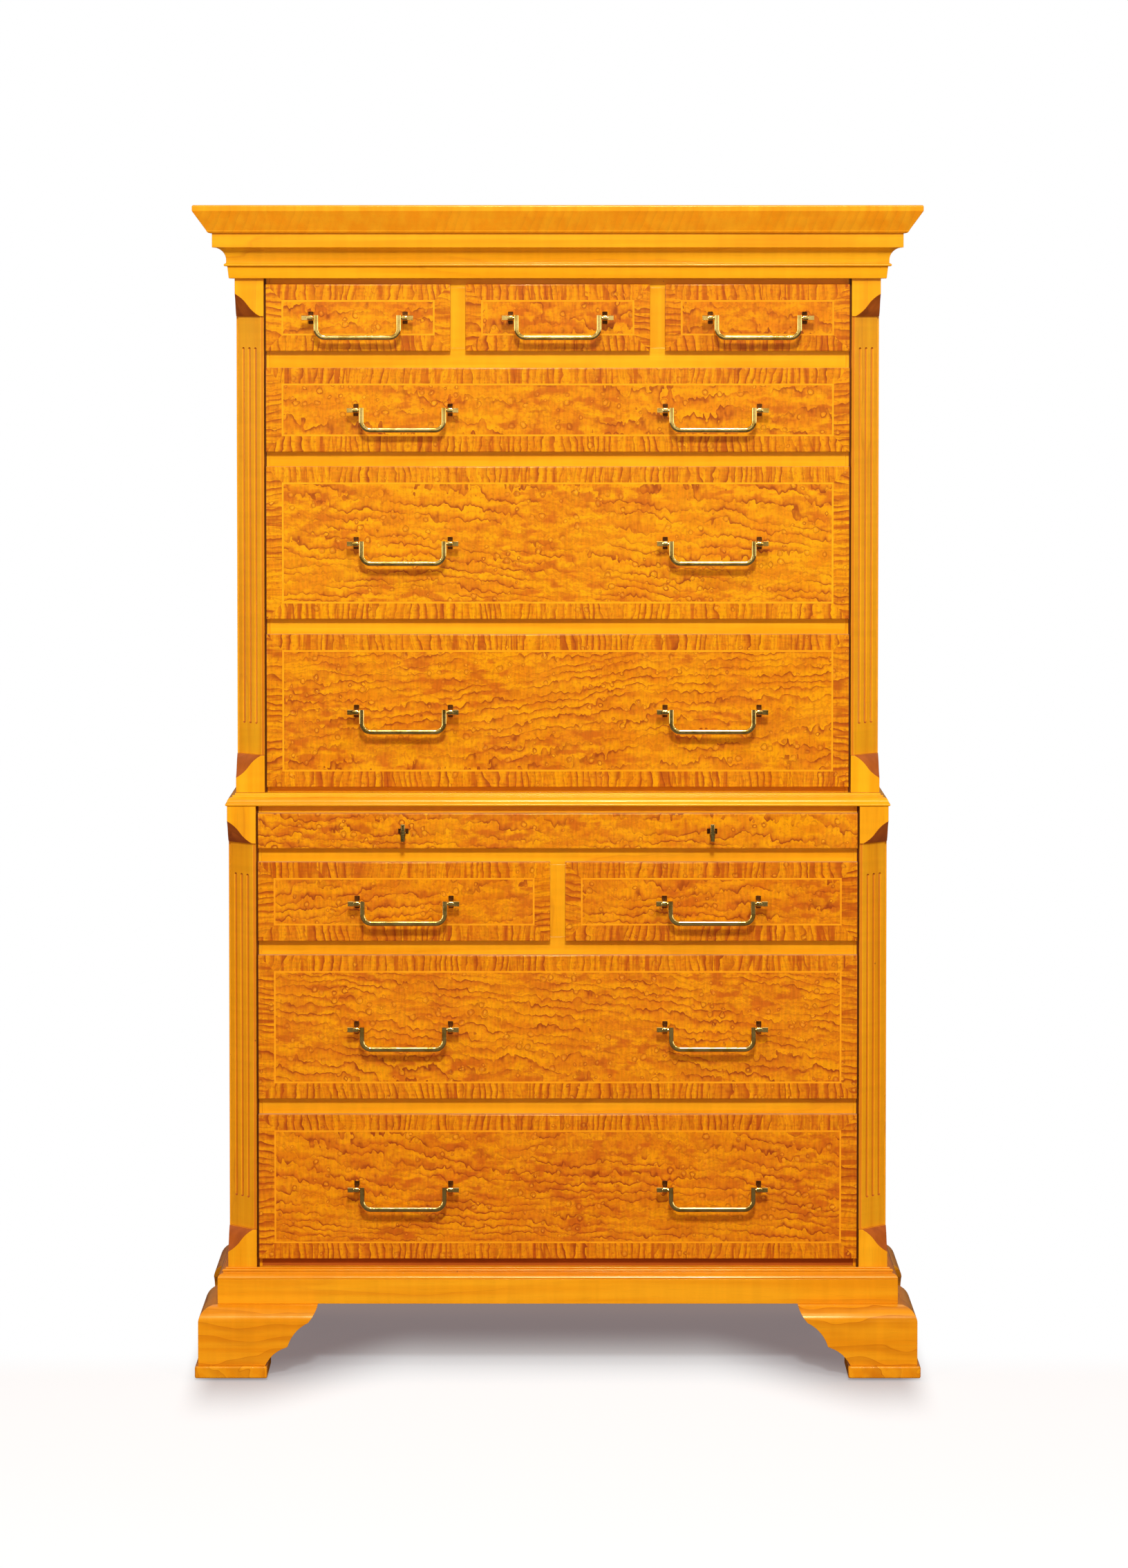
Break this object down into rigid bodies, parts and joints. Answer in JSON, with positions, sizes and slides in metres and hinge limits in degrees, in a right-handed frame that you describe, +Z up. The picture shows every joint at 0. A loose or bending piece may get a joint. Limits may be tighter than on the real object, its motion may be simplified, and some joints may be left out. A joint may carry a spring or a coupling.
{
  "type": "chest on chest",
  "caption": "Tall chest on chest with figured veneered drawer fronts, fluted canted corners, moulded cornice, brushing slide, swinging bail handles and ogee bracket feet.",
  "frame": {"origin": "on the floor, under the middle of the whole piece", "axes": "+Z up, the drawers open towards -Y, +X to the right for someone facing the front"},
  "size_m": [1.132, 0.5594, 1.83],
  "materials": {
    "veneer": "glossy lacquer over figured veneer",
    "case_wood": "satin lacquer over straight-grained wood",
    "drawer_wood": "plain sanded wood",
    "brass": "polished and lacquered",
    "glide_metal": "domed"
  },
  "bodies": {
    "case": {"cornice_moulding": "case_wood", "waist_moulding": "case_wood", "plinth_and_moulding": "case_wood", "upper_corner_columns": "case_wood", "lower_corner_columns": "case_wood", "upper_case_boards": "case_wood", "lower_case_boards": "case_wood", "back_panels": "drawer_wood", "lower_drawer_rails": "case_wood", "upper_drawer_rails": "case_wood", "drawer_runners": "drawer_wood", "bracket_feet": "case_wood", "foot_glides": "glide_metal"},
    "lower_deep_drawer_2": {"lower_deep_drawer_2_front": "veneer", "lower_deep_drawer_2_box": "drawer_wood", "lower_deep_drawer_2_posts": "brass"},
    "lower_deep_drawer_2_left_bail": {"lower_deep_drawer_2_left_bail": "brass"},
    "lower_deep_drawer_2_right_bail": {"lower_deep_drawer_2_right_bail": "brass"},
    "lower_deep_drawer_1": {"lower_deep_drawer_1_front": "veneer", "lower_deep_drawer_1_box": "drawer_wood", "lower_deep_drawer_1_posts": "brass"},
    "lower_deep_drawer_1_left_bail": {"lower_deep_drawer_1_left_bail": "brass"},
    "lower_deep_drawer_1_right_bail": {"lower_deep_drawer_1_right_bail": "brass"},
    "lower_left_drawer": {"lower_left_drawer_front": "veneer", "lower_left_drawer_box": "drawer_wood", "lower_left_drawer_posts": "brass"},
    "lower_left_drawer_bail": {"lower_left_drawer_bail": "brass"},
    "lower_right_drawer": {"lower_right_drawer_front": "veneer", "lower_right_drawer_box": "drawer_wood", "lower_right_drawer_posts": "brass"},
    "lower_right_drawer_bail": {"lower_right_drawer_bail": "brass"},
    "upper_deep_drawer_2": {"upper_deep_drawer_2_front": "veneer", "upper_deep_drawer_2_box": "drawer_wood", "upper_deep_drawer_2_posts": "brass"},
    "upper_deep_drawer_2_left_bail": {"upper_deep_drawer_2_left_bail": "brass"},
    "upper_deep_drawer_2_right_bail": {"upper_deep_drawer_2_right_bail": "brass"},
    "upper_deep_drawer_1": {"upper_deep_drawer_1_front": "veneer", "upper_deep_drawer_1_box": "drawer_wood", "upper_deep_drawer_1_posts": "brass"},
    "upper_deep_drawer_1_left_bail": {"upper_deep_drawer_1_left_bail": "brass"},
    "upper_deep_drawer_1_right_bail": {"upper_deep_drawer_1_right_bail": "brass"},
    "upper_shallow_drawer": {"upper_shallow_drawer_front": "veneer", "upper_shallow_drawer_box": "drawer_wood", "upper_shallow_drawer_posts": "brass"},
    "upper_shallow_drawer_left_bail": {"upper_shallow_drawer_left_bail": "brass"},
    "upper_shallow_drawer_right_bail": {"upper_shallow_drawer_right_bail": "brass"},
    "top_left_drawer": {"top_left_drawer_front": "veneer", "top_left_drawer_box": "drawer_wood", "top_left_drawer_posts": "brass"},
    "top_left_drawer_bail": {"top_left_drawer_bail": "brass"},
    "top_middle_drawer": {"top_middle_drawer_front": "veneer", "top_middle_drawer_box": "drawer_wood", "top_middle_drawer_posts": "brass"},
    "top_middle_drawer_bail": {"top_middle_drawer_bail": "brass"},
    "top_right_drawer": {"top_right_drawer_front": "veneer", "top_right_drawer_box": "drawer_wood", "top_right_drawer_posts": "brass"},
    "top_right_drawer_bail": {"top_right_drawer_bail": "brass"},
    "brushing_slide": {"brushing_slide_board": "veneer", "brushing_slide_knobs": "brass"}
  },
  "joints": [
    {"name": "lower_deep_drawer_2_slide", "type": "slide", "parent": "case", "child": "lower_deep_drawer_2", "axis": [0, -1, 0], "range_m": [0, 0.33]},
    {"name": "lower_deep_drawer_2_left_bail_swing", "type": "hinge", "parent": "lower_deep_drawer_2", "child": "lower_deep_drawer_2_left_bail", "pos_m": [-0.241, -0.25825, 0.2965], "axis": [-1, 0, 0], "range_deg": [-30, 115]},
    {"name": "lower_deep_drawer_2_right_bail_swing", "type": "hinge", "parent": "lower_deep_drawer_2", "child": "lower_deep_drawer_2_right_bail", "pos_m": [0.241, -0.25825, 0.2965], "axis": [-1, 0, 0], "range_deg": [-30, 115]},
    {"name": "lower_deep_drawer_1_slide", "type": "slide", "parent": "case", "child": "lower_deep_drawer_1", "axis": [0, -1, 0], "range_m": [0, 0.33]},
    {"name": "lower_deep_drawer_1_left_bail_swing", "type": "hinge", "parent": "lower_deep_drawer_1", "child": "lower_deep_drawer_1_left_bail", "pos_m": [-0.241, -0.25825, 0.54775], "axis": [-1, 0, 0], "range_deg": [-30, 115]},
    {"name": "lower_deep_drawer_1_right_bail_swing", "type": "hinge", "parent": "lower_deep_drawer_1", "child": "lower_deep_drawer_1_right_bail", "pos_m": [0.241, -0.25825, 0.54775], "axis": [-1, 0, 0], "range_deg": [-30, 115]},
    {"name": "lower_left_drawer_slide", "type": "slide", "parent": "case", "child": "lower_left_drawer", "axis": [0, -1, 0], "range_m": [0, 0.33]},
    {"name": "lower_left_drawer_bail_swing", "type": "hinge", "parent": "lower_left_drawer", "child": "lower_left_drawer_bail", "pos_m": [-0.23997, -0.25825, 0.74475], "axis": [-1, 0, 0], "range_deg": [-30, 115]},
    {"name": "lower_right_drawer_slide", "type": "slide", "parent": "case", "child": "lower_right_drawer", "axis": [0, -1, 0], "range_m": [0, 0.33]},
    {"name": "lower_right_drawer_bail_swing", "type": "hinge", "parent": "lower_right_drawer", "child": "lower_right_drawer_bail", "pos_m": [0.23997, -0.25825, 0.74475], "axis": [-1, 0, 0], "range_deg": [-30, 115]},
    {"name": "upper_deep_drawer_2_slide", "type": "slide", "parent": "case", "child": "upper_deep_drawer_2", "axis": [0, -1, 0], "range_m": [0, 0.32]},
    {"name": "upper_deep_drawer_2_left_bail_swing", "type": "hinge", "parent": "upper_deep_drawer_2", "child": "upper_deep_drawer_2_left_bail", "pos_m": [-0.241, -0.24425, 1.0425], "axis": [-1, 0, 0], "range_deg": [-30, 115]},
    {"name": "upper_deep_drawer_2_right_bail_swing", "type": "hinge", "parent": "upper_deep_drawer_2", "child": "upper_deep_drawer_2_right_bail", "pos_m": [0.241, -0.24425, 1.0425], "axis": [-1, 0, 0], "range_deg": [-30, 115]},
    {"name": "upper_deep_drawer_1_slide", "type": "slide", "parent": "case", "child": "upper_deep_drawer_1", "axis": [0, -1, 0], "range_m": [0, 0.32]},
    {"name": "upper_deep_drawer_1_left_bail_swing", "type": "hinge", "parent": "upper_deep_drawer_1", "child": "upper_deep_drawer_1_left_bail", "pos_m": [-0.241, -0.24425, 1.305], "axis": [-1, 0, 0], "range_deg": [-30, 115]},
    {"name": "upper_deep_drawer_1_right_bail_swing", "type": "hinge", "parent": "upper_deep_drawer_1", "child": "upper_deep_drawer_1_right_bail", "pos_m": [0.241, -0.24425, 1.305], "axis": [-1, 0, 0], "range_deg": [-30, 115]},
    {"name": "upper_shallow_drawer_slide", "type": "slide", "parent": "case", "child": "upper_shallow_drawer", "axis": [0, -1, 0], "range_m": [0, 0.32]},
    {"name": "upper_shallow_drawer_left_bail_swing", "type": "hinge", "parent": "upper_shallow_drawer", "child": "upper_shallow_drawer_left_bail", "pos_m": [-0.241, -0.24425, 1.5125], "axis": [-1, 0, 0], "range_deg": [-30, 115]},
    {"name": "upper_shallow_drawer_right_bail_swing", "type": "hinge", "parent": "upper_shallow_drawer", "child": "upper_shallow_drawer_right_bail", "pos_m": [0.241, -0.24425, 1.5125], "axis": [-1, 0, 0], "range_deg": [-30, 115]},
    {"name": "top_left_drawer_slide", "type": "slide", "parent": "case", "child": "top_left_drawer", "axis": [0, -1, 0], "range_m": [0, 0.32]},
    {"name": "top_left_drawer_bail_swing", "type": "hinge", "parent": "top_left_drawer", "child": "top_left_drawer_bail", "pos_m": [-0.31097, -0.24425, 1.656], "axis": [-1, 0, 0], "range_deg": [-30, 115]},
    {"name": "top_middle_drawer_slide", "type": "slide", "parent": "case", "child": "top_middle_drawer", "axis": [0, -1, 0], "range_m": [0, 0.32]},
    {"name": "top_middle_drawer_bail_swing", "type": "hinge", "parent": "top_middle_drawer", "child": "top_middle_drawer_bail", "pos_m": [0, -0.24425, 1.656], "axis": [-1, 0, 0], "range_deg": [-30, 115]},
    {"name": "top_right_drawer_slide", "type": "slide", "parent": "case", "child": "top_right_drawer", "axis": [0, -1, 0], "range_m": [0, 0.32]},
    {"name": "top_right_drawer_bail_swing", "type": "hinge", "parent": "top_right_drawer", "child": "top_right_drawer_bail", "pos_m": [0.31097, -0.24425, 1.656], "axis": [-1, 0, 0], "range_deg": [-30, 115]},
    {"name": "brushing_slide_slide", "type": "slide", "parent": "case", "child": "brushing_slide", "axis": [0, -1, 0], "range_m": [0, 0.3]}
  ]
}
